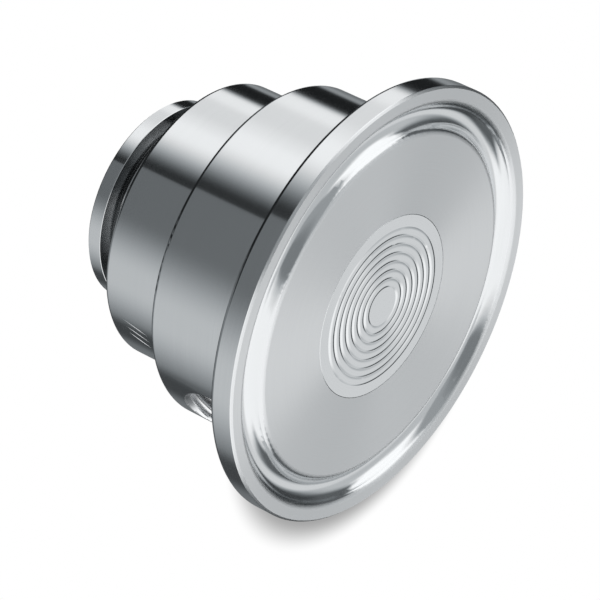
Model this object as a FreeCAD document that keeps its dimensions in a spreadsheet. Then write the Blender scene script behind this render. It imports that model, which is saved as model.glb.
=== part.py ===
import FreeCAD, Part
import math
import os
import Sketcher

# A gauge diaphragm seal with a sanitary clamp flange, standing on its rear lip.
# The seal's axis is Z: the rear lip's face is at height zero and the process face is on top.
# The side port looks along -Y. All sizes are in millimetres and degrees.

SIZES = (
    ("flange_radius", 25.25, "clamp flange, outside"),
    ("rim_thickness", 2.83, "clamp flange, height of its rim"),
    ("rim_chamfer", 0.25, "clamp flange, front edge"),
    ("rim_back_rounding", 0.5, "clamp flange, rear edge"),
    ("clamp_taper_angle", 20, "clamp flange, slope of its back, which the clamp draws on"),
    ("outer_land_width", 2.01, "clamp flange, outside of its rim to the gasket groove"),
    ("gasket_groove_width", 2.99, "gasket groove, across its sharp corners"),
    ("gasket_groove_depth", 1.38, "gasket groove, below the process face"),
    ("groove_inner_rounding", 0.76, "gasket groove, inner edge"),
    ("groove_outer_rounding", 0.62, "gasket groove, outer edge"),
    ("disc_recess", 0.1, "inner disc, below the flange's outer land"),
    ("front_barrel_radius", 19.4, "large barrel behind the flange"),
    ("front_length", 16.27, "process face to the step between the barrels"),
    ("rear_barrel_radius", 16.15, "small barrel"),
    ("rear_barrel_length", 9.33, "small barrel"),
    ("barrel_rounding", 0.5, "rear edges of both barrels"),
    ("neck_radius", 9.4, "bottom of the neck groove"),
    ("neck_groove_width", 4.55, "small barrel to the rear lip"),
    ("neck_rounding", 0.6, "corners at the bottom of the neck groove"),
    ("lip_radius", 11.75, "rear lip"),
    ("lip_thickness", 1.85, "rear lip"),
    ("lip_chamfer", 0.2, "rear lip, rear edge"),
    ("lip_rounding", 0.1, "rear lip, front edge"),
    ("gauge_port_radius", 6.579, "rear port, at its thread's major diameter"),
    ("gauge_port_depth", 11.5, "rear port, threaded part"),
    ("gauge_port_chamfer", 0.6, "rear port, mouth"),
    ("side_port_radius", 4.864, "side port, at its thread's major diameter"),
    ("side_port_offset", 8.8, "process face to the side port's axis"),
    ("side_port_floor_wall", 1.2, "between the side port's floor and the spigot's bore"),
    ("spigot_radius", 11, "spigot that screws into the front body"),
    ("web_thickness", 6.05, "front body, between the spigot's bore and the bed's seat"),
    ("spigot_clearance", 0.02, "spigot to its bore, radial"),
    ("spigot_end_gap", 0.1, "spigot's end to the floor of its bore"),
    ("spigot_chamfer", 0.4, "spigot's leading edge"),
    ("ring_seal_radius", 5, "ring seal in the spigot's end, centre line"),
    ("ring_seal_width", 1.5, "ring seal, radial"),
    ("ring_seal_rounding", 0.45, "ring seal, corners of its squeezed section"),
    ("ring_groove_width", 2, "groove of the ring seal"),
    ("ring_groove_depth", 1.1, "groove of the ring seal"),
    ("oil_passage_radius", 1, "drilled oil passage on the axis"),
    ("diaphragm_radius", 10.65, "diaphragm and its bed, outside"),
    ("diaphragm_thickness", 0.1, "foil"),
    ("diaphragm_edge_rounding", 0.07, "foil, front edge"),
    ("first_wave_radius", 2.75, "innermost wave, crest line"),
    ("wave_pitch", 1, "crest to crest"),
    ("wave_count", 7, "waves in the diaphragm"),
    ("valley_width", 0.05, "flat valley between two waves"),
    ("wave_rise", 0.1, "crest above foot"),
    ("film_gap", 0.15, "oil film between the diaphragm and its bed"),
    ("bed_rim_width", 1, "bed, flat rim that the diaphragm is welded to"),
    ("bed_thickness", 5.2, "bed, below its rim"),
    ("bed_clearance", 0.02, "bed to its seat, radial"),
    ("restrictor_radius", 2, "restrictor screw"),
    ("restrictor_length", 4, "restrictor screw"),
    ("restrictor_bore_radius", 0.4, "restrictor screw, throttling bore"),
    ("restrictor_slot_width", 0.8, "restrictor screw, driver slot"),
    ("restrictor_slot_depth", 0.9, "restrictor screw, driver slot"),
    ("restrictor_sink", 0.4, "restrictor screw below the port's floor"),
    ("screw_clearance", 0.02, "inner screws to their bores, radial"),
    ("port_gasket_radius", 4.75, "port gasket, outside"),
    ("port_gasket_bore_radius", 2.6, "port gasket, hole"),
    ("port_gasket_thickness", 1.5, "port gasket, and the depth of its seat"),
    ("port_gasket_clearance", 0.1, "port gasket to its seat, radial"),
    ("filling_bore_radius", 2, "bore of the filling screw"),
    ("filling_bore_end", 5.5, "seal's axis to the seat of the filling ball"),
    ("filling_passage_radius", 1, "drilled passage that the filling ball closes"),
    ("filling_ball_radius", 1.75, "filling ball"),
    ("filling_screw_sink", 0.2, "filling screw below the side port's floor"),
    ("filling_socket_flats", 2, "filling screw, hexagon socket across flats"),
    ("filling_socket_depth", 1.6, "filling screw, hexagon socket"),
    ("contact_clearance", 0.01, "round pieces to what they press on"),
)

doc = FreeCAD.newDocument("diaphragm_seal")
sheet = doc.addObject("Spreadsheet::Sheet", "Sizes")
for row, (alias, size, meaning) in enumerate(SIZES, 1):
    sheet.set("A" + str(row), alias)
    sheet.set("B" + str(row), str(size))
    sheet.set("C" + str(row), meaning)
    sheet.setAlias("B" + str(row), alias)
doc.recompute()


def cell(alias):
    """The formula that reads one cell of the sheet."""
    return "Sizes." + alias


def number(formula):
    """The value that a formula has now."""
    value = sheet.evalExpression(formula)
    return float(getattr(value, "Value", value))


# Heights above the rear lip's face
NECK_TOP = "(Sizes.lip_thickness + Sizes.neck_groove_width)"
STEP = "(" + NECK_TOP + " + Sizes.rear_barrel_length)"
PROCESS_FACE = "(" + STEP + " + Sizes.front_length)"
RIM_BACK = "(" + PROCESS_FACE + " - Sizes.rim_thickness)"
TAPER_FOOT = (
    "(" + RIM_BACK
    + " - (Sizes.flange_radius - Sizes.front_barrel_radius) * tan(Sizes.clamp_taper_angle * 1 deg))"
)
DISC = "(" + PROCESS_FACE + " - Sizes.disc_recess)"
FOIL_BACK = "(" + DISC + " - Sizes.diaphragm_thickness)"
BED_DISH = "(" + FOIL_BACK + " - Sizes.film_gap)"
BED_FLOOR = "(" + FOIL_BACK + " - Sizes.bed_thickness)"
SPIGOT_BORE_END = "(" + BED_FLOOR + " - Sizes.web_thickness)"
SPIGOT_END = "(" + SPIGOT_BORE_END + " - Sizes.spigot_end_gap)"
RING_GROOVE_FLOOR = "(" + SPIGOT_END + " - Sizes.ring_groove_depth)"
GASKET_SEAT_FLOOR = "(Sizes.gauge_port_depth + Sizes.port_gasket_thickness)"
RESTRICTOR_START = "(" + GASKET_SEAT_FLOOR + " + Sizes.restrictor_sink)"
RESTRICTOR_END = "(" + RESTRICTOR_START + " + Sizes.restrictor_length)"
SIDE_PORT_HEIGHT = "(" + PROCESS_FACE + " - Sizes.side_port_offset)"

# Radii and distances from the seal's axis
GROOVE_OUTER = "(Sizes.flange_radius - Sizes.outer_land_width)"
GROOVE_INNER = "(" + GROOVE_OUTER + " - Sizes.gasket_groove_width)"
WAVE_WIDTH = "(Sizes.wave_pitch - Sizes.valley_width)"
BED_SEAT = "(Sizes.diaphragm_radius + Sizes.bed_clearance)"
SPIGOT_BORE = "(Sizes.spigot_radius + Sizes.spigot_clearance)"
RING_GROOVE_INNER = "(Sizes.ring_seal_radius - Sizes.ring_groove_width / 2)"
RING_GROOVE_OUTER = "(Sizes.ring_seal_radius + Sizes.ring_groove_width / 2)"
GASKET_SEAT = "(Sizes.port_gasket_radius + Sizes.port_gasket_clearance)"
SIDE_PORT_FLOOR = "(" + SPIGOT_BORE + " + Sizes.side_port_floor_wall)"
BALL_CENTRE = (
    "(Sizes.filling_bore_end + Sizes.contact_clearance"
    " + sqrt(Sizes.filling_ball_radius ^ 2 - Sizes.filling_passage_radius ^ 2))"
)
SCREW_INNER_END = "(" + BALL_CENTRE + " + Sizes.filling_ball_radius + Sizes.contact_clearance)"
SCREW_OUTER_END = "(" + SIDE_PORT_FLOOR + " - Sizes.filling_screw_sink)"


def sagitta_radius(width, rise):
    """The formula for the radius of an arc of a given chord and rise."""
    return "((" + width + ") ^ 2 / 4 + (" + rise + ") ^ 2) / (2 * (" + rise + "))"


def new_body(label):
    """An empty body whose label names the piece."""
    body = doc.addObject("PartDesign::Body", label)
    body.Label = label
    return body


def new_sketch(body, name, role):
    """A sketch on one of the body's own origin planes."""
    sketch = body.newObject("Sketcher::SketchObject", name)
    plane = [item for item in body.Origin.OriginFeatures if item.Role == role][0]
    sketch.AttachmentSupport = (plane, "")
    sketch.MapMode = "FlatFace"
    return sketch


def constrain(sketch, name, constraint, formula):
    """Adds a named constraint whose value is a formula of the sheet's cells."""
    index = sketch.addConstraint(constraint)
    sketch.renameConstraint(index, name)
    sketch.setExpression("Constraints." + name, formula)


def end_at(sketch, edge, place):
    """Which end of an edge, 1 or 2, lies at a place."""
    to_start = sketch.getPoint(edge, 1).distanceToPoint(place)
    to_end = sketch.getPoint(edge, 2).distanceToPoint(place)
    return 1 if to_start < to_end else 2


def draw_outline(sketch, corners):
    """Draws a closed outline of corners (radius, height, bulge), each a formula.

    A bulge is None for a straight edge to the next corner, or (chord, rise, side) for an arc,
    where side is 1 if the arc rises above its feet and -1 if it dips below them.
    """
    places = [FreeCAD.Vector(number(radius), number(height), 0) for radius, height, bulge in corners]
    edges = []
    for index, (_, _, bulge) in enumerate(corners):
        start = places[index]
        end = places[(index + 1) % len(corners)]
        if bulge is None:
            edges.append(sketch.addGeometry(Part.LineSegment(start, end), False))
            continue
        chord, rise, side = bulge
        middle = (start + end) * 0.5 + FreeCAD.Vector(0, side * number(rise), 0)
        edges.append(sketch.addGeometry(Part.Arc(start, middle, end), False))
    ends = []
    for index, edge in enumerate(edges):
        start = places[index]
        first = end_at(sketch, edge, start)
        ends.append((first, 3 - first))
    for index, (radius, height, bulge) in enumerate(corners):
        edge = edges[index]
        first = ends[index][0]
        before = index - 1
        sketch.addConstraint(Sketcher.Constraint("Coincident", edges[before], ends[before][1], edge, first))
        place = places[index]
        label = str(index)
        if place.x > 0:
            rule = Sketcher.Constraint("DistanceX", -1, 1, edge, first, place.x)
            constrain(sketch, "radius_" + label, rule, radius)
        else:
            sketch.addConstraint(Sketcher.Constraint("PointOnObject", edge, first, -2))
        if place.y > 0:
            rule = Sketcher.Constraint("DistanceY", -1, 1, edge, first, place.y)
            constrain(sketch, "height_" + label, rule, height)
        else:
            sketch.addConstraint(Sketcher.Constraint("PointOnObject", edge, first, -1))
        if bulge is not None:
            formula = sagitta_radius(bulge[0], bulge[1])
            rule = Sketcher.Constraint("Radius", edge, number(formula))
            constrain(sketch, "bend_" + label, rule, formula)


def turn(body, name, corners):
    """Turns an outline about the seal's axis."""
    sketch = new_sketch(body, name + "_outline", "XZ_Plane")
    draw_outline(sketch, corners)
    doc.recompute()
    revolution = body.newObject("PartDesign::Revolution", name)
    revolution.Profile = sketch
    revolution.ReferenceAxis = (sketch, ["V_Axis"])
    revolution.Angle = 360
    sketch.Visibility = False
    doc.recompute()
    return revolution


def rings(feature, places):
    """The names of the feature's round edges at the given (radius, height) places."""
    tolerance = 0.001
    names = []
    for radius, height in places:
        for index, edge in enumerate(feature.Shape.Edges, 1):
            if not isinstance(edge.Curve, Part.Circle):
                continue
            same_radius = abs(edge.Curve.Radius - number(radius)) < tolerance
            same_height = abs(edge.Curve.Center.z - number(height)) < tolerance
            if same_radius and same_height:
                names.append("Edge" + str(index))
    return names


def break_edges(body, kind, name, places, size):
    """Chamfers or rounds the last feature's round edges at the given places."""
    base = body.Tip
    feature = body.newObject("PartDesign::" + kind, name)
    feature.Base = (base, rings(base, places))
    feature.setExpression("Radius" if kind == "Fillet" else "Size", size)
    doc.recompute()
    return feature


def drill_from_side(body, name, radius, start, end):
    """Drills towards the seal's axis at the side port's height, between two distances from it."""
    sketch = new_sketch(body, name + "_circle", "XZ_Plane")
    sketch.setExpression("AttachmentOffset.Base.z", start)
    height = number(SIDE_PORT_HEIGHT)
    circle = Part.Circle(FreeCAD.Vector(0, height, 0), FreeCAD.Vector(0, 0, 1), number(radius))
    edge = sketch.addGeometry(circle, False)
    sketch.addConstraint(Sketcher.Constraint("PointOnObject", edge, 3, -2))
    rule = Sketcher.Constraint("DistanceY", -1, 1, edge, 3, height)
    constrain(sketch, "height", rule, SIDE_PORT_HEIGHT)
    constrain(sketch, "bore", Sketcher.Constraint("Radius", edge, number(radius)), radius)
    doc.recompute()
    before = body.Shape.Volume
    pocket = body.newObject("PartDesign::Pocket", name)
    pocket.Profile = sketch
    pocket.setExpression("Length", start + " - " + end)
    sketch.Visibility = False
    doc.recompute()
    if not body.Shape.Volume < before:
        raise RuntimeError(name + " cuts nothing")
    return pocket


def wave_corners(foot_height, reverse):
    """The corners of the waves across the diaphragm, from the centre out or back."""
    wave = (WAVE_WIDTH, cell("wave_rise"), 1)
    corners = []
    for index in range(int(number(cell("wave_count")))):
        crest = "(Sizes.first_wave_radius + " + str(index) + " * Sizes.wave_pitch)"
        inner = (crest + " - " + WAVE_WIDTH + " / 2", foot_height)
        outer = (crest + " + " + WAVE_WIDTH + " / 2", foot_height)
        corners.append((inner + (wave,), outer + (None,)))
    if reverse:
        corners = [(outer[:2] + (wave,), inner[:2] + (None,)) for inner, outer in reversed(corners)]
    return [corner for pair in corners for corner in pair]


# Front body: clamp flange and large barrel, turned from one bar

def make_clamp_flange():
    body = new_body("clamp_flange")
    groove = (cell("gasket_groove_width"), cell("gasket_groove_depth"), -1)
    turn(body, "clamp_flange_turning", [
        (SPIGOT_BORE, STEP, None),
        (cell("front_barrel_radius"), STEP, None),
        (cell("front_barrel_radius"), TAPER_FOOT, None),
        (cell("flange_radius"), RIM_BACK, None),
        (cell("flange_radius"), PROCESS_FACE, None),
        (GROOVE_OUTER, PROCESS_FACE, groove),
        (GROOVE_INNER, DISC, None),
        (BED_SEAT, DISC, None),
        (BED_SEAT, BED_FLOOR, None),
        (cell("oil_passage_radius"), BED_FLOOR, None),
        (cell("oil_passage_radius"), SPIGOT_BORE_END, None),
        (SPIGOT_BORE, SPIGOT_BORE_END, None),
    ])
    flange_front = [(cell("flange_radius"), PROCESS_FACE)]
    break_edges(body, "Chamfer", "rim_edge", flange_front, cell("rim_chamfer"))
    flange_back = [(cell("flange_radius"), RIM_BACK)]
    break_edges(body, "Fillet", "rim_back_edge", flange_back, cell("rim_back_rounding"))
    barrel_back = [(cell("front_barrel_radius"), STEP)]
    break_edges(body, "Fillet", "front_barrel_edge", barrel_back, cell("barrel_rounding"))
    inner_edge = [(GROOVE_INNER, DISC)]
    break_edges(body, "Fillet", "groove_inner_edge", inner_edge, cell("groove_inner_rounding"))
    outer_edge = [(GROOVE_OUTER, PROCESS_FACE)]
    break_edges(body, "Fillet", "groove_outer_edge", outer_edge, cell("groove_outer_rounding"))
    filling_seat = cell("filling_bore_end")
    drill_from_side(body, "side_port", cell("side_port_radius"), cell("flange_radius"), SIDE_PORT_FLOOR)
    drill_from_side(body, "filling_bore", cell("filling_bore_radius"), SIDE_PORT_FLOOR, filling_seat)
    drill_from_side(body, "filling_passage", cell("filling_passage_radius"), filling_seat, "0")


# Rear body: small barrel, neck groove, rear lip and screwed spigot, turned from one bar

def make_instrument_body():
    body = new_body("instrument_body")
    turn(body, "instrument_body_turning", [
        (cell("gauge_port_radius"), "0", None),
        (cell("lip_radius"), "0", None),
        (cell("lip_radius"), cell("lip_thickness"), None),
        (cell("neck_radius"), cell("lip_thickness"), None),
        (cell("neck_radius"), NECK_TOP, None),
        (cell("rear_barrel_radius"), NECK_TOP, None),
        (cell("rear_barrel_radius"), STEP, None),
        (cell("spigot_radius"), STEP, None),
        (cell("spigot_radius"), SPIGOT_END, None),
        (RING_GROOVE_OUTER, SPIGOT_END, None),
        (RING_GROOVE_OUTER, RING_GROOVE_FLOOR, None),
        (RING_GROOVE_INNER, RING_GROOVE_FLOOR, None),
        (RING_GROOVE_INNER, SPIGOT_END, None),
        (cell("oil_passage_radius"), SPIGOT_END, None),
        (cell("oil_passage_radius"), RESTRICTOR_END, None),
        (cell("restrictor_radius"), RESTRICTOR_END, None),
        (cell("restrictor_radius"), GASKET_SEAT_FLOOR, None),
        (GASKET_SEAT, GASKET_SEAT_FLOOR, None),
        (GASKET_SEAT, cell("gauge_port_depth"), None),
        (cell("gauge_port_radius"), cell("gauge_port_depth"), None),
    ])
    lip_back = [(cell("lip_radius"), "0")]
    break_edges(body, "Chamfer", "lip_rear_edge", lip_back, cell("lip_chamfer"))
    lip_front = [(cell("lip_radius"), cell("lip_thickness"))]
    break_edges(body, "Fillet", "lip_front_edge", lip_front, cell("lip_rounding"))
    port_mouth = [(cell("gauge_port_radius"), "0")]
    break_edges(body, "Chamfer", "gauge_port_mouth", port_mouth, cell("gauge_port_chamfer"))
    barrel_back = [(cell("rear_barrel_radius"), NECK_TOP)]
    break_edges(body, "Fillet", "rear_barrel_edge", barrel_back, cell("barrel_rounding"))
    spigot_lead = [(cell("spigot_radius"), SPIGOT_END)]
    break_edges(body, "Chamfer", "spigot_lead", spigot_lead, cell("spigot_chamfer"))
    neck_corners = [(cell("neck_radius"), cell("lip_thickness")), (cell("neck_radius"), NECK_TOP)]
    neck_rounding = (
        "min(Sizes.neck_rounding; 0.9 * (Sizes.lip_radius - Sizes.lip_rounding - Sizes.neck_radius);"
        " 0.49 * Sizes.neck_groove_width)"
    )
    break_edges(body, "Fillet", "neck_corners", neck_corners, neck_rounding)


# Corrugated diaphragm, pressed from foil

def make_diaphragm():
    body = new_body("diaphragm")
    corners = [("0", FOIL_BACK, None)]
    corners += wave_corners(FOIL_BACK, False)
    corners += [(cell("diaphragm_radius"), FOIL_BACK, None), (cell("diaphragm_radius"), DISC, None)]
    corners += wave_corners(DISC, True)
    corners += [("0", DISC, None)]
    turn(body, "diaphragm_foil", corners)
    foil_edge = [(cell("diaphragm_radius"), DISC)]
    break_edges(body, "Fillet", "foil_edge", foil_edge, cell("diaphragm_edge_rounding"))


# Bed that backs the diaphragm, with the same waves behind the oil film

def make_diaphragm_bed():
    body = new_body("diaphragm_bed")
    rim_inside = "(Sizes.diaphragm_radius - Sizes.bed_rim_width)"
    corners = [
        (cell("oil_passage_radius"), BED_FLOOR, None),
        (cell("diaphragm_radius"), BED_FLOOR, None),
        (cell("diaphragm_radius"), FOIL_BACK, None),
        (rim_inside, FOIL_BACK, None),
        (rim_inside, BED_DISH, None),
    ]
    corners += wave_corners(BED_DISH, True)
    corners += [(cell("oil_passage_radius"), BED_DISH, None)]
    turn(body, "bed_turning", corners)


# Ring seal in the end of the spigot, squeezed to an oval

def make_ring_seal():
    body = new_body("ring_seal")
    inside = "(Sizes.ring_seal_radius - Sizes.ring_seal_width / 2)"
    outside = "(Sizes.ring_seal_radius + Sizes.ring_seal_width / 2)"
    outline = [
        (inside, RING_GROOVE_FLOOR),
        (outside, RING_GROOVE_FLOOR),
        (outside, SPIGOT_BORE_END),
        (inside, SPIGOT_BORE_END),
    ]
    turn(body, "ring_seal_moulding", [(radius, height, None) for radius, height in outline])
    break_edges(body, "Fillet", "ring_seal_corners", outline, cell("ring_seal_rounding"))


# Restrictor screw at the bottom of the rear port

def make_restrictor_screw():
    body = new_body("restrictor_screw")
    outside = "(Sizes.restrictor_radius - Sizes.screw_clearance)"
    turn(body, "restrictor_turning", [
        (cell("restrictor_bore_radius"), RESTRICTOR_START, None),
        (outside, RESTRICTOR_START, None),
        (outside, RESTRICTOR_END, None),
        (cell("restrictor_bore_radius"), RESTRICTOR_END, None),
    ])
    sketch = new_sketch(body, "restrictor_slot_outline", "XY_Plane")
    sketch.setExpression("AttachmentOffset.Base.z", RESTRICTOR_START)
    half_length = number(cell("restrictor_radius"))
    half_width = number(cell("restrictor_slot_width")) / 2
    places = [
        FreeCAD.Vector(-half_length, -half_width, 0),
        FreeCAD.Vector(half_length, -half_width, 0),
        FreeCAD.Vector(half_length, half_width, 0),
        FreeCAD.Vector(-half_length, half_width, 0),
    ]
    sides = [sketch.addGeometry(Part.LineSegment(places[i], places[(i + 1) % 4]), False) for i in range(4)]
    for index, side in enumerate(sides):
        sketch.addConstraint(Sketcher.Constraint("Coincident", sides[index - 1], 2, side, 1))
    for side in (sides[0], sides[2]):
        sketch.addConstraint(Sketcher.Constraint("Horizontal", side))
    for side in (sides[1], sides[3]):
        sketch.addConstraint(Sketcher.Constraint("Vertical", side))
    sketch.addConstraint(Sketcher.Constraint("Symmetric", sides[0], 1, sides[2], 1, -1, 1))
    length_rule = Sketcher.Constraint("DistanceX", sides[0], 1, sides[0], 2, 2 * half_length)
    constrain(sketch, "slot_length", length_rule, "2 * Sizes.restrictor_radius")
    width_rule = Sketcher.Constraint("DistanceY", sides[1], 1, sides[1], 2, 2 * half_width)
    constrain(sketch, "slot_width", width_rule, cell("restrictor_slot_width"))
    doc.recompute()
    before = body.Shape.Volume
    slot = body.newObject("PartDesign::Pocket", "restrictor_slot")
    slot.Profile = sketch
    slot.Reversed = True
    slot.setExpression("Length", cell("restrictor_slot_depth"))
    sketch.Visibility = False
    doc.recompute()
    if not body.Shape.Volume < before:
        raise RuntimeError("restrictor_slot cuts nothing")


# Flat gasket on the floor of the rear port

def make_port_gasket():
    body = new_body("port_gasket")
    turn(body, "port_gasket_ring", [
        (cell("port_gasket_bore_radius"), cell("gauge_port_depth"), None),
        (cell("port_gasket_radius"), cell("gauge_port_depth"), None),
        (cell("port_gasket_radius"), GASKET_SEAT_FLOOR, None),
        (cell("port_gasket_bore_radius"), GASKET_SEAT_FLOOR, None),
    ])


# Ball that closes the filling passage

def make_filling_ball():
    ball = doc.addObject("Part::Sphere", "filling_ball")
    ball.Label = "filling_ball"
    ball.setExpression("Radius", cell("filling_ball_radius"))
    ball.setExpression("Placement.Base.y", "-" + BALL_CENTRE)
    ball.setExpression("Placement.Base.z", SIDE_PORT_HEIGHT)


# Headless screw that presses the ball on its seat

def make_filling_screw():
    body = new_body("filling_screw")
    sketch = new_sketch(body, "filling_screw_circle", "XZ_Plane")
    sketch.setExpression("AttachmentOffset.Base.z", SCREW_INNER_END)
    radius = "(Sizes.filling_bore_radius - Sizes.screw_clearance)"
    centre = FreeCAD.Vector(0, number(SIDE_PORT_HEIGHT), 0)
    circle = Part.Circle(centre, FreeCAD.Vector(0, 0, 1), number(radius))
    edge = sketch.addGeometry(circle, False)
    sketch.addConstraint(Sketcher.Constraint("PointOnObject", edge, 3, -2))
    constrain(sketch, "height", Sketcher.Constraint("DistanceY", -1, 1, edge, 3, centre.y), SIDE_PORT_HEIGHT)
    constrain(sketch, "shank", Sketcher.Constraint("Radius", edge, number(radius)), radius)
    doc.recompute()
    pad = body.newObject("PartDesign::Pad", "filling_screw_shank")
    pad.Profile = sketch
    pad.setExpression("Length", SCREW_OUTER_END + " - " + SCREW_INNER_END)
    sketch.Visibility = False
    doc.recompute()
    make_hexagon_socket(body)


def make_hexagon_socket(body):
    """Cuts the hexagon socket into the filling screw's outer end."""
    sketch = new_sketch(body, "filling_socket_outline", "XZ_Plane")
    sketch.setExpression("AttachmentOffset.Base.z", SCREW_OUTER_END)
    height = number(SIDE_PORT_HEIGHT)
    corner_radius = "(Sizes.filling_socket_flats / sqrt(3))"
    reach = number(corner_radius)
    corners = []
    for index in range(6):
        angle = math.radians(60 * index)
        corners.append(FreeCAD.Vector(reach * math.cos(angle), height + reach * math.sin(angle), 0))
    circle = Part.Circle(FreeCAD.Vector(0, height, 0), FreeCAD.Vector(0, 0, 1), reach)
    guide = sketch.addGeometry(circle, True)
    sketch.addConstraint(Sketcher.Constraint("PointOnObject", guide, 3, -2))
    constrain(sketch, "height", Sketcher.Constraint("DistanceY", -1, 1, guide, 3, height), SIDE_PORT_HEIGHT)
    constrain(sketch, "corner_radius", Sketcher.Constraint("Radius", guide, reach), corner_radius)
    sides = [sketch.addGeometry(Part.LineSegment(corners[i], corners[(i + 1) % 6]), False) for i in range(6)]
    for index, side in enumerate(sides):
        sketch.addConstraint(Sketcher.Constraint("Coincident", sides[index - 1], 2, side, 1))
        sketch.addConstraint(Sketcher.Constraint("PointOnObject", side, 1, guide))
    for side in sides[1:]:
        sketch.addConstraint(Sketcher.Constraint("Equal", sides[0], side))
    sketch.addConstraint(Sketcher.Constraint("Horizontal", sides[1]))
    doc.recompute()
    before = body.Shape.Volume
    pocket = body.newObject("PartDesign::Pocket", "filling_socket")
    pocket.Profile = sketch
    pocket.setExpression("Length", cell("filling_socket_depth"))
    sketch.Visibility = False
    doc.recompute()
    if not body.Shape.Volume < before:
        raise RuntimeError("filling_socket cuts nothing")


make_clamp_flange()
make_instrument_body()
make_diaphragm()
make_diaphragm_bed()
make_ring_seal()
make_restrictor_screw()
make_port_gasket()
make_filling_ball()
make_filling_screw()
doc.recompute()

# Every object is sound before anything is written

for item in doc.Objects:
    if "Invalid" in item.State or "Error" in item.State:
        raise RuntimeError(item.Name + " did not recompute")

PIECES = (
    "clamp_flange",
    "instrument_body",
    "diaphragm",
    "diaphragm_bed",
    "ring_seal",
    "restrictor_screw",
    "port_gasket",
    "filling_ball",
    "filling_screw",
)
for name in PIECES:
    shape = doc.getObjectsByLabel(name)[0].Shape
    if shape.isNull() or not shape.isValid() or len(shape.Solids) != 1:
        raise RuntimeError(name + " is not one sound solid")

os.makedirs("parts", exist_ok=True)
for name in PIECES:
    piece = doc.getObjectsByLabel(name)[0]
    piece.Shape.exportStep("parts/" + name + ".step")
    print(name, round(piece.Shape.Volume, 3))
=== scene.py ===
import math

import bmesh
import bpy
from mathutils import Matrix, Vector


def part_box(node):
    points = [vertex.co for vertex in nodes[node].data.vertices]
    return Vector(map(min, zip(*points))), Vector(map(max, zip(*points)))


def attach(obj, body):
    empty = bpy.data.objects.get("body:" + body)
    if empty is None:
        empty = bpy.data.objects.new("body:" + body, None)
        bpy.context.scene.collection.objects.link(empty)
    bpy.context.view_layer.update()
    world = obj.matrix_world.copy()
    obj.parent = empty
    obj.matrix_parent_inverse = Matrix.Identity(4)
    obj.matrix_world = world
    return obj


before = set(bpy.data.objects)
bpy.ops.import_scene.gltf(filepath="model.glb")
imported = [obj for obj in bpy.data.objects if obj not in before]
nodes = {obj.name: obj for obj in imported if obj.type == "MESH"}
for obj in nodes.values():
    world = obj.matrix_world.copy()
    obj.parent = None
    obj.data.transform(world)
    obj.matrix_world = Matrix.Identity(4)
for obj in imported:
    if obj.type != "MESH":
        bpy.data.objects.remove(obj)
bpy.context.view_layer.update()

# A gauge diaphragm seal, standing on its rear lip, as a studio photograph shows it.
# Lengths are in metres, angles in degrees.

MM = 0.001

scene = bpy.context.scene

# Sizes read from the frame

flange_low, flange_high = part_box("clamp_flange")
PROCESS_FACE = flange_high.z
BARREL_STEP = flange_low.z
FLANGE_RADIUS = flange_high.x
REAR_BARREL_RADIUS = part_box("instrument_body")[1].x
ball_low, ball_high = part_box("filling_ball")
SIDE_PORT_HEIGHT = (ball_low.z + ball_high.z) / 2

# Sizes of the solids that their boxes don't show

FRONT_BARREL_RADIUS = 19.4 * MM
SIDE_PORT_THREAD = {"wall": 4.864 * MM, "crest": 4.283 * MM, "pitch": 0.907 * MM}
SIDE_PORT_DEPTHS = (12.4 * MM, 20.6 * MM)
GAUGE_PORT_THREAD = {"wall": 6.579 * MM, "crest": 5.723 * MM, "pitch": 1.337 * MM}
GAUGE_PORT_HEIGHTS = (0.5 * MM, 11.3 * MM)


# Camera: a long lens that looks down on the process face, rolled as the photograph is

CAMERA_FROM_FACE = Vector((-363.1, -101.0, 214.1)) * MM
CAMERA_RIGHT = Vector((0.32981, 0.54163, 0.77320))
CAMERA_UP = Vector((-0.44921, 0.81040, -0.37608))
CAMERA_LENS = 242.4
CAMERA_SENSOR = 36.0
CAMERA_CLIP = (0.01, 10.0)


def make_camera():
    data = bpy.data.cameras.new("camera")
    data.lens = CAMERA_LENS
    data.sensor_width = CAMERA_SENSOR
    data.clip_start, data.clip_end = CAMERA_CLIP
    camera = bpy.data.objects.new("camera", data)
    scene.collection.objects.link(camera)
    right = CAMERA_RIGHT.normalized()
    back = right.cross(CAMERA_UP).normalized()
    up = back.cross(right)
    place = Vector((0, 0, PROCESS_FACE)) + CAMERA_FROM_FACE
    turn = Matrix((right, up, back)).transposed().to_4x4()
    camera.matrix_world = Matrix.Translation(place) @ turn
    scene.camera = camera


# Small helpers for node trees

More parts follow.
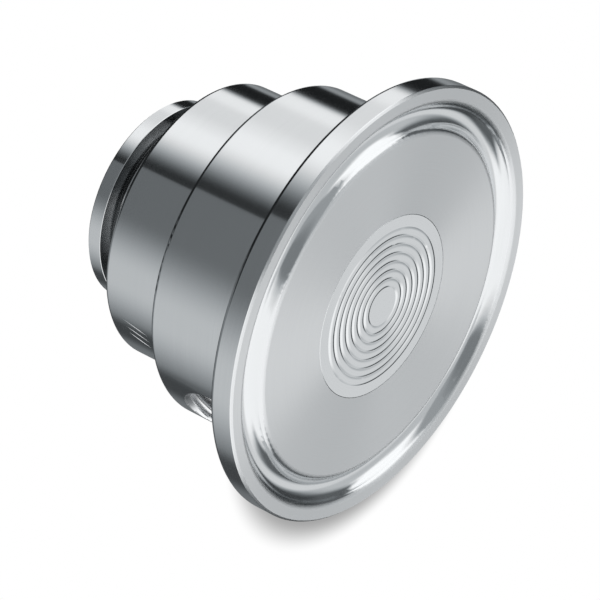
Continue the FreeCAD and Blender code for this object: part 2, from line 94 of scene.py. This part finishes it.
class Tree:
    """Adds nodes to a tree and links them, so that a formula reads as one."""

    def __init__(self, tree):
        self.nodes = tree.nodes
        self.links = tree.links

    def add(self, kind, **settings):
        node = self.nodes.new(kind)
        for name, value in settings.items():
            setattr(node, name, value)
        return node

    def feed(self, source, socket):
        """Links a socket, or sets a plain value, on an input."""
        if isinstance(source, bpy.types.NodeSocket):
            self.links.new(source, socket)
        else:
            socket.default_value = source

    def math(self, operation, *values, clamp=False):
        node = self.add("ShaderNodeMath", operation=operation, use_clamp=clamp)
        for value, socket in zip(values, node.inputs):
            self.feed(value, socket)
        return node.outputs[0]

    def plus(self, first, second):
        return self.math("ADD", first, second)

    def minus(self, first, second):
        return self.math("SUBTRACT", first, second)

    def times(self, first, second):
        return self.math("MULTIPLY", first, second)

    def length(self, first, second):
        """The length of a flat vector."""
        return self.math("SQRT", self.plus(self.times(first, first), self.times(second, second)))

    def split(self, vector):
        """The X, Y and Z of a vector."""
        node = self.add("ShaderNodeSeparateXYZ")
        self.feed(vector, node.inputs[0])
        return tuple(node.outputs)

    def join(self, *values):
        """A vector made of its X, Y and Z."""
        node = self.add("ShaderNodeCombineXYZ")
        for value, socket in zip(values, node.inputs):
            self.feed(value, socket)
        return node.outputs[0]

    def smooth(self, value, low, high):
        """Goes smoothly from 0 to 1 as the value goes from low to high."""
        node = self.add("ShaderNodeMapRange", interpolation_type="SMOOTHSTEP")
        self.feed(value, node.inputs["Value"])
        node.inputs["From Min"].default_value = low
        node.inputs["From Max"].default_value = high
        return node.outputs["Result"]

    def fade(self, value, edges):
        """Is 1 between the middle two of four edges, and 0 outside the outer two."""
        rise = self.smooth(value, edges[0], edges[1])
        fall = self.smooth(value, edges[2], edges[3])
        return self.minus(rise, fall)

    def blend(self, factor, first, second, kind="FLOAT"):
        """Mixes two numbers, or two colours where the kind is RGBA."""
        node = self.add("ShaderNodeMix", data_type=kind)
        self.feed(factor, node.inputs["Factor"])
        self.feed(first, node.inputs["A"])
        self.feed(second, node.inputs["B"])
        return node.outputs["Result"]

    def seen_directly(self):
        """Is 1 for the camera's own rays and for those that pass through something clear."""
        rays = self.add("ShaderNodeLightPath").outputs
        return self.math("MAXIMUM", rays["Is Camera Ray"], rays["Is Transmission Ray"])


# Studio: walls, soft boxes and black flags, far from the seal, which shows them by direction alone.
# Azimuth is counted from +X towards +Y, elevation from the horizon, both in degrees.
# Each piece is (light, azimuths, elevations); of four azimuths or elevations, the piece fades in
# over the first two and out over the last two. A later piece stands in front of the earlier ones.

ROOM_LIGHT = 0.68
STUDIO_PIECES = {
    "side_wall": (0.43, (132, 144, 172, 186), (-20, 0, 70, 84)),
    "grey_wall": (0.27, (160, 182, 203, 218), (-20, 0, 70, 84)),
    "key_box": (1.24, (206, 236, 308, 322), (-18, -8, 74, 82)),
    "front_strip": (0.86, (-4, 6, 22, 34), (0, 10, 60, 75)),
    "front_top": (1.10, (-4, 6, 24, 36), (44, 58, 76, 84)),
    "key_box_wing": (1.26, (290, 305, 364, 374), (32, 42, 76, 84)),
    "rim_box": (1.40, (70, 90, 126, 146), (-30, -15, 44, 60)),
    "left_flag": (0.14, (22, 42, 84, 93), (-40, -15, 22, 40)),
    "right_flag": (0.15, (318, 325, 346, 360), (-40, -20, 26, 44)),
    "front_dark": (0.07, (-24, -12, 56, 70), (-50, -40, 15, 23)),
}

# Between the elevations LOW_WALL_TOP the studio passes into a low wall, whose pieces are (light,
# azimuths) and reach over its whole height, and between DARK_GROUND into a dark ground with one card.

LOW_WALL_LIGHT = 0.19
LOW_WALL_TOP = (-26, -17)
LOW_PIECES = {
    "low_card": (0.34, (33, 43, 46, 51)),
    "low_flag": (0.015, (46, 52.5, 72, 76)),
    "low_box": (0.98, (73, 82, 120, 150)),
    "low_box_rim": (1.14, (75, 83, 90, 100)),
    "low_edge_flag": (0.03, (139, 141, 178, 178.8)),
    "low_key_box": (1.25, (112, 134, 141, 174.5)),
    "low_fill": (0.70, (215, 260, 272, 320)),
    "low_dark_card": (0.07, (306, 320, 331, 348)),
}
DARK_GROUND_LIGHT = 0.02
DARK_GROUND = (-48, -34)
GROUND_CARD = (0.26, (222, 245, 315, 335))

# The studio's colour, which is this cool tint where it is black and turns white as it gets brighter

DARK_TINT = (0.92, 1.0, 1.05, 1.0)
WHITE = (1.0, 1.0, 1.0, 1.0)


def paint(tree, azimuth, under, light, edges, covers=None):
    """Stands a studio piece in front of what is under it, at the elevations that it covers."""
    middle = (edges[0] + edges[3]) / 2
    offset = tree.math("WRAP", tree.minus(azimuth, middle), 180, -180)
    share = tree.fade(offset, [edge - middle for edge in edges])
    if covers is not None:
        share = tree.times(share, covers)
    return tree.blend(share, under, light)


def make_world():
    """The studio for the metal, and plain white for what the camera sees of it."""
    world = bpy.data.worlds.new("studio")
    world.use_nodes = True
    scene.world = world
    tree = Tree(world.node_tree)
    tree.nodes.clear()
    x, y, z = tree.split(tree.add("ShaderNodeTexCoord").outputs["Generated"])
    azimuth = tree.math("DEGREES", tree.math("ARCTAN2", y, x))
    elevation = tree.math("DEGREES", tree.math("ARCSINE", z))

    upper = ROOM_LIGHT
    for light, azimuths, elevations in STUDIO_PIECES.values():
        upper = paint(tree, azimuth, upper, light, azimuths, tree.fade(elevation, elevations))
    lower = LOW_WALL_LIGHT
    for light, azimuths in LOW_PIECES.values():
        lower = paint(tree, azimuth, lower, light, azimuths)
    ground = paint(tree, azimuth, DARK_GROUND_LIGHT, *GROUND_CARD)
    lower = tree.blend(tree.smooth(elevation, *DARK_GROUND), ground, lower)
    studio = tree.blend(tree.smooth(elevation, *LOW_WALL_TOP), lower, upper)

    shown = tree.blend(tree.seen_directly(), studio, 1.0)
    background = tree.add("ShaderNodeBackground")
    tree.feed(tree.blend(shown, DARK_TINT, WHITE, kind="RGBA"), background.inputs["Color"])
    tree.feed(shown, background.inputs["Strength"])
    output = tree.add("ShaderNodeOutputWorld")
    tree.feed(background.outputs[0], output.inputs["Surface"])


# Floor: white to the camera, with a painted soft shadow of the seal, and out of the metal's reflections

FLOOR_HALF = 3.0
FLOOR_HEIGHT = -0.02 * MM
FLOOR_COLOUR = (0.9, 0.9, 0.9, 1.0)

# The shadow is painted into the floor; no lamp casts it. It is drawn as if a lamp low behind the
# camera, which the metal doesn't show, cast it from the flange, as a disc, and from the barrels, as a
# bar that widens upwards. The bar is narrower than the barrels, because the photograph's floor is white
# beside it.

PAINTED_SHADOW_SOURCE_AZIMUTH = 189.9
PAINTED_SHADOW_SOURCE_ELEVATION = 27.9
SHADOW_DEPTH = 0.62
SHADOW_EDGE = (-2.3 * MM, 2.4 * MM)
SHADOW_DISC_HEIGHT = PROCESS_FACE - 1.5 * MM
SHADOW_BAR_HEIGHT = BARREL_STEP + 10 * MM
SHADOW_BAR_FOOT = 8 * MM
SHADOW_BAR_WIDENS = 4.5 * MM


def paint_floor_shadow(tree):
    """How white the floor is: 1, and less in the painted shadow of the flange and of the barrels."""
    turn = math.radians(PAINTED_SHADOW_SOURCE_AZIMUTH + 180)
    slant = 1 / math.tan(math.radians(PAINTED_SHADOW_SOURCE_ELEVATION))
    disc_shift = SHADOW_DISC_HEIGHT * slant
    bar_shift = SHADOW_BAR_HEIGHT * slant
    place = tree.add("ShaderNodeNewGeometry").outputs["Position"]
    x, y, _ = tree.split(place)
    away = tree.plus(tree.times(x, math.cos(turn)), tree.times(y, math.sin(turn)))
    aside = tree.plus(tree.times(x, -math.sin(turn)), tree.times(y, math.cos(turn)))

    def outside(shift, radius):
        """How far a point of the floor is outside a circle, shifted away from the painted shadow's
        imagined lamp.
        """
        reach = tree.length(tree.minus(away, shift), aside)
        return tree.minus(reach, radius)

    share = tree.math("DIVIDE", away, bar_shift, clamp=True)
    radius = tree.plus(tree.times(share, SHADOW_BAR_WIDENS), SHADOW_BAR_FOOT)
    bar = outside(tree.times(share, bar_shift), radius)
    nearest = tree.math("MINIMUM", outside(disc_shift, FLANGE_RADIUS), bar)
    dark = tree.minus(1.0, tree.smooth(nearest, *SHADOW_EDGE))
    return tree.minus(1.0, tree.times(dark, SHADOW_DEPTH))


def floor_white():
    """Glows white with the painted shadow in it where it is seen, and is a pale surface to other rays.
    """
    material = bpy.data.materials.new("floor_white")
    material.use_nodes = True
    tree = Tree(material.node_tree)
    tree.nodes.clear()
    diffuse = tree.add("ShaderNodeBsdfDiffuse")
    diffuse.inputs["Color"].default_value = FLOOR_COLOUR
    white = tree.add("ShaderNodeEmission")
    white.inputs["Color"].default_value = WHITE
    # The floor's glow is dimmed by the painted shadow of the seal.
    tree.feed(paint_floor_shadow(tree), white.inputs["Strength"])
    mix = tree.add("ShaderNodeMixShader")
    tree.feed(tree.seen_directly(), mix.inputs[0])
    tree.feed(diffuse.outputs[0], mix.inputs[1])
    tree.feed(white.outputs[0], mix.inputs[2])
    output = tree.add("ShaderNodeOutputMaterial")
    tree.feed(mix.outputs[0], output.inputs["Surface"])
    return material


def make_floor():
    mesh = bpy.data.meshes.new("floor")
    corners = ((-1, -1), (1, -1), (1, 1), (-1, 1))
    points = [(x * FLOOR_HALF, y * FLOOR_HALF, FLOOR_HEIGHT) for x, y in corners]
    mesh.from_pydata(points, [], [(0, 1, 2, 3)])
    mesh.materials.append(floor_white())
    floor = bpy.data.objects.new("floor", mesh)
    scene.collection.objects.link(floor)
    floor.visible_glossy = False


# Turned steel. Its rings are a noise that is much the same all the way round; RING_DRIFT says how
# much of it changes on the way, and RING_TONES between which of its values dark turns into light.
# The roughness varies with the rings, from the least share of itself upwards.

STEEL = (0.682, 0.698, 0.709)
ACROSS_THE_LINES = 0.25
RING_WIDTH = 0.05 * MM
RING_DEPTH = 0.00001 * MM
RING_DRIFT = 1.2
RING_DETAIL = 3.0
RING_FINENESS = 0.65
RING_TONES = (0.3, 0.7)
TONE_SPREAD = 0.02
ROUGHNESS_LEAST_SHARE = 0.85
ROUGHNESS_SPREAD = 0.3

# Where the steel differs. The neck groove has painted shade between four heights, over which it
# fades in and out, and outside the two radii, which leaves the gauge port bright. The painted shade
# darkens its colour more upwards, towards the barrel's step, and its roughness is raised as a duller
# finish. The process face has its own roughness from just below, and the foil's waves stand for lower
# ones.

NECK_HEIGHTS = (1.79 * MM, 1.84 * MM, 6.41 * MM, 6.5 * MM)
NECK_DARKENS = (1.2 * MM, 4.4 * MM)
NECK_RADII = (7.5 * MM, 8.5 * MM)
NECK_PAINTED_SHADE = 0.4
NECK_ROUGHNESS = 0.2
FACE_BEGINS = (PROCESS_FACE - 0.3 * MM, PROCESS_FACE - 0.12 * MM)
WAVES_END = (9.5 * MM, 9.9 * MM)
WAVE_SLOPE = 0.75


def toned(colour, share):
    """A colour, darker or lighter by a share, with the fourth value that a socket needs."""
    return [min(channel * share, 1.0) for channel in colour] + [1.0]


def ring_noise(tree, radius, height, angle):
    """Noise in fine rings around the seal's axis, on its flat faces and on its barrels alike."""
    travel = tree.minus(radius, height)
    spot = tree.join(
        tree.math("DIVIDE", travel, RING_WIDTH),
        tree.times(tree.math("SINE", angle), RING_DRIFT),
        tree.times(tree.math("COSINE", angle), RING_DRIFT),
    )
    noise = tree.add("ShaderNodeTexNoise", noise_dimensions="3D")
    noise.inputs["Scale"].default_value = 1.0
    noise.inputs["Detail"].default_value = RING_DETAIL
    noise.inputs["Roughness"].default_value = RING_FINENESS
    tree.feed(spot, noise.inputs["Vector"])
    return noise.outputs["Fac"]


def lean_less(tree, normal, share):
    """A normal that leans away from the seal's axis by only a share of its slope."""
    x, y, z = tree.split(normal)
    unit = tree.add("ShaderNodeVectorMath", operation="NORMALIZE")
    tree.feed(tree.join(tree.times(x, share), tree.times(y, share), z), unit.inputs[0])
    return unit.outputs[0]


def turned_metal(name, roughness, anisotropy=0.8, depth=RING_DEPTH,
                 face_roughness=None, painted_neck_shade=False, low_waves=False):
    """Steel with the fine rings that a lathe leaves, which follow the seal's axis everywhere."""
    material = bpy.data.materials.new(name)
    material.use_nodes = True
    tree = Tree(material.node_tree)
    shader = tree.nodes["Principled BSDF"]
    shader.inputs["Metallic"].default_value = 1.0
    shader.inputs["Anisotropic"].default_value = anisotropy
    shader.inputs["Anisotropic Rotation"].default_value = ACROSS_THE_LINES
    tangent = tree.add("ShaderNodeTangent", direction_type="RADIAL", axis="Z")
    tree.feed(tangent.outputs[0], shader.inputs["Tangent"])

    geometry = tree.add("ShaderNodeNewGeometry")
    x, y, height = tree.split(geometry.outputs["Position"])
    radius = tree.length(x, y)
    rings = ring_noise(tree, radius, height, tree.math("ARCTAN2", y, x))
    tones = toned(STEEL, 1 - TONE_SPREAD), toned(STEEL, 1 + TONE_SPREAD)
    colour = tree.blend(tree.smooth(rings, *RING_TONES), *tones, kind="RGBA")
    level = roughness
    # Painted shade in the neck groove: its colour darkens towards the barrel's step; its roughness
    # rises for a duller finish.
    if painted_neck_shade:
        neck = tree.times(tree.fade(height, NECK_HEIGHTS), tree.smooth(radius, *NECK_RADII))
        neck = tree.times(neck, tree.smooth(height, *NECK_DARKENS))
        colour = tree.blend(neck, colour, toned(STEEL, NECK_PAINTED_SHADE), kind="RGBA")
        level = tree.blend(neck, roughness, NECK_ROUGHNESS)
    if face_roughness is not None:
        level = tree.blend(tree.smooth(height, *FACE_BEGINS), roughness, face_roughness)
    tree.feed(colour, shader.inputs["Base Color"])
    uneven = tree.plus(tree.times(rings, ROUGHNESS_SPREAD), ROUGHNESS_LEAST_SHARE)
    tree.feed(tree.times(level, uneven), shader.inputs["Roughness"])

    bump = tree.add("ShaderNodeBump")
    bump.inputs["Strength"].default_value = 1.0
    bump.inputs["Distance"].default_value = depth
    tree.feed(rings, bump.inputs["Height"])
    if low_waves:
        share = tree.blend(tree.smooth(radius, *WAVES_END), WAVE_SLOPE, 1.0)
        tree.feed(lean_less(tree, geometry.outputs["Normal"], share), bump.inputs["Normal"])
    tree.feed(bump.outputs[0], shader.inputs["Normal"])
    return material


# Plain materials, whose roughness varies between these shares of itself in a fine grain

GRAIN_SCALE = 4000.0
GRAIN_DETAIL = 3.0
GRAIN_SPREAD = (0.8, 1.2)


def plain(name, colour, metallic, roughness):
    material = bpy.data.materials.new(name)
    material.use_nodes = True
    tree = Tree(material.node_tree)
    shader = tree.nodes["Principled BSDF"]
    shader.inputs["Base Color"].default_value = toned(colour, 1.0)
    shader.inputs["Metallic"].default_value = metallic
    grain = tree.add("ShaderNodeTexNoise", noise_dimensions="3D")
    grain.inputs["Scale"].default_value = GRAIN_SCALE
    grain.inputs["Detail"].default_value = GRAIN_DETAIL
    tree.feed(tree.add("ShaderNodeTexCoord").outputs["Object"], grain.inputs["Vector"])
    smoothest, roughest = (roughness * share for share in GRAIN_SPREAD)
    tree.feed(tree.blend(grain.outputs["Fac"], smoothest, roughest), shader.inputs["Roughness"])
    return material


def make_materials():
    """The material of each solid, by the name of its node."""
    screw_steel = plain("screw_steel", (0.60, 0.61, 0.62), 1.0, 0.3)
    return {
        "clamp_flange": turned_metal("turned_steel_front", 0.12, face_roughness=0.38),
        "instrument_body": turned_metal("turned_steel_rear", 0.12, painted_neck_shade=True),
        "diaphragm_bed": turned_metal("turned_steel_bed", 0.16),
        "diaphragm": turned_metal("pressed_foil", 0.06, 0.4, RING_DEPTH / 2, low_waves=True),
        "ring_seal": plain("seal_rubber", (0.03, 0.03, 0.03), 0.0, 0.6),
        "port_gasket": plain("gasket_ptfe", (0.85, 0.85, 0.83), 0.0, 0.45),
        "restrictor_screw": screw_steel,
        "filling_screw": screw_steel,
        "filling_ball": plain("ball_steel", (0.62, 0.63, 0.64), 1.0, 0.12),
    }


def dress_nodes(materials):
    for name, node in nodes.items():
        for slot in node.material_slots:
            slot.material = materials[name]


# Pieces that only this scene has

SHARP_ANGLE = 30


def new_piece(name, points, faces, material):
    mesh = bpy.data.meshes.new(name)
    mesh.from_pydata(points, [], faces)
    mesh.validate()
    for face in mesh.polygons:
        face.use_smooth = True
    mesh.set_sharp_from_angle(angle=math.radians(SHARP_ANGLE))
    mesh.materials.append(material)
    piece = bpy.data.objects.new(name, mesh)
    scene.collection.objects.link(piece)
    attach(piece, "root")
    return piece


def sweep(sections):
    """Skins closed rings of points, in order, and caps the two ends."""
    points = [point for section in sections for point in section]
    count = len(sections[0])
    faces = []
    for ring in range(len(sections) - 1):
        for corner in range(count):
            here = ring * count + corner
            beside = ring * count + (corner + 1) % count
            faces.append((here, beside, beside + count, here + count))
    last = (len(sections) - 1) * count
    faces.append(tuple(reversed(range(count))))
    faces.append(tuple(range(last, last + count)))
    return points, faces


# Threads. The profile is (offset along the axis, rise): shares of the ridge's half width and depth.
# The ridge stands just clear of the port's wall and tapers off at both ends, to its least rise and
# width. The countersink says how steeply its rise may grow inwards from the port's mouth.

THREAD_PROFILE = ((-1, 0), (-0.62, 0.32), (-0.27, 0.86), (-0.12, 0.98),
                  (0.12, 0.98), (0.27, 0.86), (0.62, 0.32), (1, 0))
THREAD_HALF_WIDTH = 0.49
THREAD_STEPS = 120
WALL_CLEARANCE = 0.004 * MM
TAPER_STEPS = 0.4 * THREAD_STEPS
LEAST_RISE = 0.02
LEAST_WIDTH = 0.3
COUNTERSINK = 0.8
BARREL_CLEARANCE = 0.02 * MM
SAME_POINT = 0.001 * MM
SPLINTER = 0.0005 * MM


def thread(name, placement, wall, crest, pitch, start, end, material, slot, barrel=None):
    """The ridge of an inner thread on the local Z axis, countersunk where it leaves a barrel."""
    total = int(((end - start) / pitch - 1) * THREAD_STEPS)
    half = pitch * THREAD_HALF_WIDTH
    depth = wall - crest
    sections = []
    for step in range(total + 1):
        angle = 2 * math.pi * step / THREAD_STEPS
        along = start + pitch / 2 + pitch * step / THREAD_STEPS
        growth = min(1.0, step / TAPER_STEPS, (total - step) / TAPER_STEPS)
        growth = max(growth, LEAST_RISE)
        ring = []
        for offset, rise in THREAD_PROFILE:
            height = depth * rise * growth
            level = along + offset * half * max(growth, LEAST_WIDTH)
            if barrel is not None:
                mouth = math.sqrt(barrel ** 2 - (wall * math.cos(angle)) ** 2)
                level = min(level, mouth)
                height = min(height, (mouth - level) * COUNTERSINK)
            reach = wall - WALL_CLEARANCE - height
            spot = Vector((reach * math.cos(angle), reach * math.sin(angle), level))
            ring.append(placement @ spot)
        sections.append(ring)
    points, faces = sweep(sections)
    piece = new_piece(name, points, faces, material)
    join_points(piece)
    return piece


def join_points(piece):
    """Joins the points that the countersink has put in one place."""
    mesh = bmesh.new()
    mesh.from_mesh(piece.data)
    bmesh.ops.remove_doubles(mesh, verts=mesh.verts, dist=SAME_POINT)
    bmesh.ops.dissolve_degenerate(mesh, edges=mesh.edges, dist=SPLINTER)
    mesh.to_mesh(piece.data)
    mesh.free()


def make_threads(material):
    side_start, side_end = SIDE_PORT_DEPTHS
    into_side = Matrix.Translation((0, 0, SIDE_PORT_HEIGHT)) @ Matrix.Rotation(math.radians(90), 4, "X")
    thread("side_port_thread", into_side, start=side_start, end=side_end, material=material,
           slot="turned_steel", barrel=FRONT_BARREL_RADIUS - BARREL_CLEARANCE, **SIDE_PORT_THREAD)
    gauge_start, gauge_end = GAUGE_PORT_HEIGHTS
    thread("gauge_port_thread", Matrix.Identity(4), start=gauge_start, end=gauge_end, material=material,
           slot="turned_steel", **GAUGE_PORT_THREAD)


# Scribed strokes on the small barrel: (azimuth, height) of the two ends of each, in degrees and mm.
# Each is a low burr, whose foot is sunk in the barrel and whose crest is a share of its width.

SCRIBED = (
    ((251.6, 8.6), (255.2, 11.8)),
    ((255.3, 8.8), (258.9, 11.8)),
    ((259.0, 9.0), (263.2, 11.6)),
)
SCRIBE_WIDTH = 0.16 * MM
SCRIBE_HEIGHT = 0.03 * MM
SCRIBE_SUNK = 0.01 * MM
SCRIBE_CREST = 0.4
SCRIBE_ENDS = 0.15
SCRIBE_STEPS = 24


def scribe(name, start, end, material):
    """The bright burr of one scribed stroke, thinner at its ends."""
    around = REAR_BARREL_RADIUS * math.radians(end[0] - start[0])
    up = (end[1] - start[1]) * MM
    length = math.hypot(around, up)
    sections = []
    for step in range(SCRIBE_STEPS + 1):
        share = step / SCRIBE_STEPS
        turn = math.radians(start[0] + (end[0] - start[0]) * share)
        level = (start[1] + (end[1] - start[1]) * share) * MM
        bulge = max(math.sin(math.pi * share), SCRIBE_ENDS)
        outward = Vector((math.cos(turn), math.sin(turn), 0))
        aside = Vector((-math.sin(turn), math.cos(turn), 0))
        across = (aside * -up + Vector((0, 0, 1)) * around) / length
        foot = outward * (REAR_BARREL_RADIUS - SCRIBE_SUNK) + Vector((0, 0, level))
        side = across * (SCRIBE_WIDTH * bulge / 2)
        crest = side * SCRIBE_CREST
        top = outward * (SCRIBE_HEIGHT * bulge + SCRIBE_SUNK)
        sections.append([foot - side, foot + side, foot + crest + top, foot - crest + top])
    points, faces = sweep(sections)
    return new_piece(name, points, faces, material)


def make_scribed_strokes(material):
    for index, (start, end) in enumerate(SCRIBED, 1):
        scribe("scribed_stroke_" + str(index), start, end, material)


make_camera()
make_world()
make_floor()
materials = make_materials()
dress_nodes(materials)
# The threads' steel is paler than the turned steel: painted light on the ports' bright thread flanks.
make_threads(plain("thread_steel", (0.82, 0.83, 0.84), 1.0, 0.3))
make_scribed_strokes(plain("scribed_steel", (0.75, 0.76, 0.77), 1.0, 0.35))

scene.view_settings.view_transform = "Standard"
